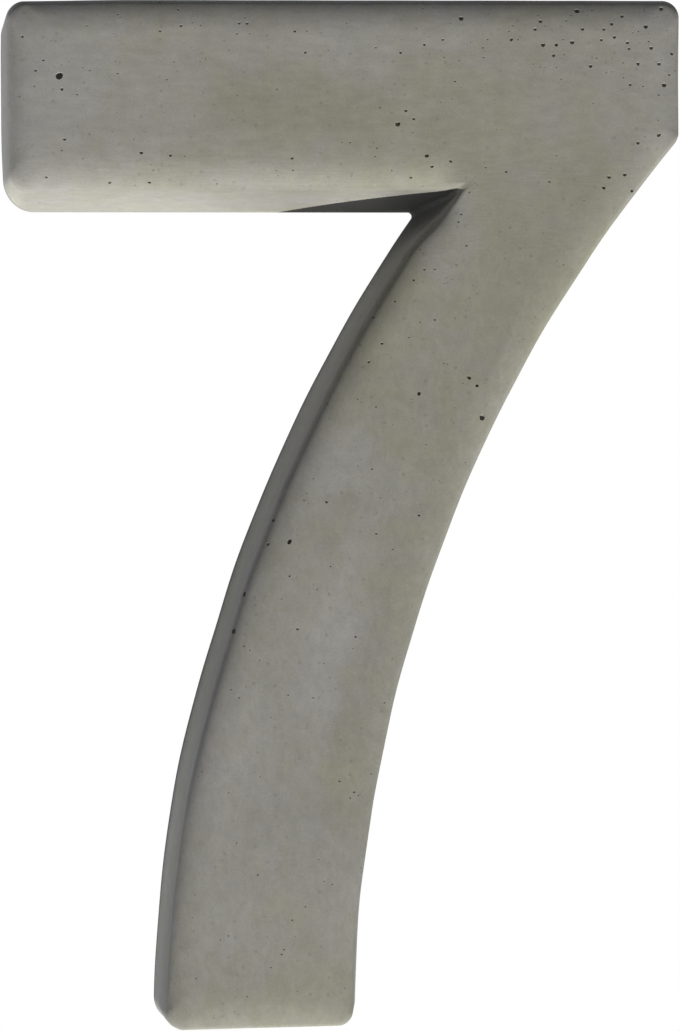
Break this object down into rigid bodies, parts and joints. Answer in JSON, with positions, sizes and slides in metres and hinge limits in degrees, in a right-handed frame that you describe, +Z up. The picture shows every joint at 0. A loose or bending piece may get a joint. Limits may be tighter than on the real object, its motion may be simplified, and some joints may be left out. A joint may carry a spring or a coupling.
{
  "type": "house number",
  "caption": "Cast concrete house number in the shape of a seven, with drafted sides, soft front edges, a flat back and blind stud holes for fixing it to a wall.",
  "frame": {"origin": "on the back face, which lies on the wall plane, at the middle of the foot on the baseline", "axes": "+X to the reader's right, +Y into the wall, +Z up; the front faces -Y"},
  "size_m": [0.1325, 0.027, 0.2],
  "materials": {
    "concrete": "matte fair-faced grey concrete with fine grain, cloudy tone and small air pores"
  },
  "bodies": {
    "root": {"numeral": "concrete"}
  },
  "joints": []
}
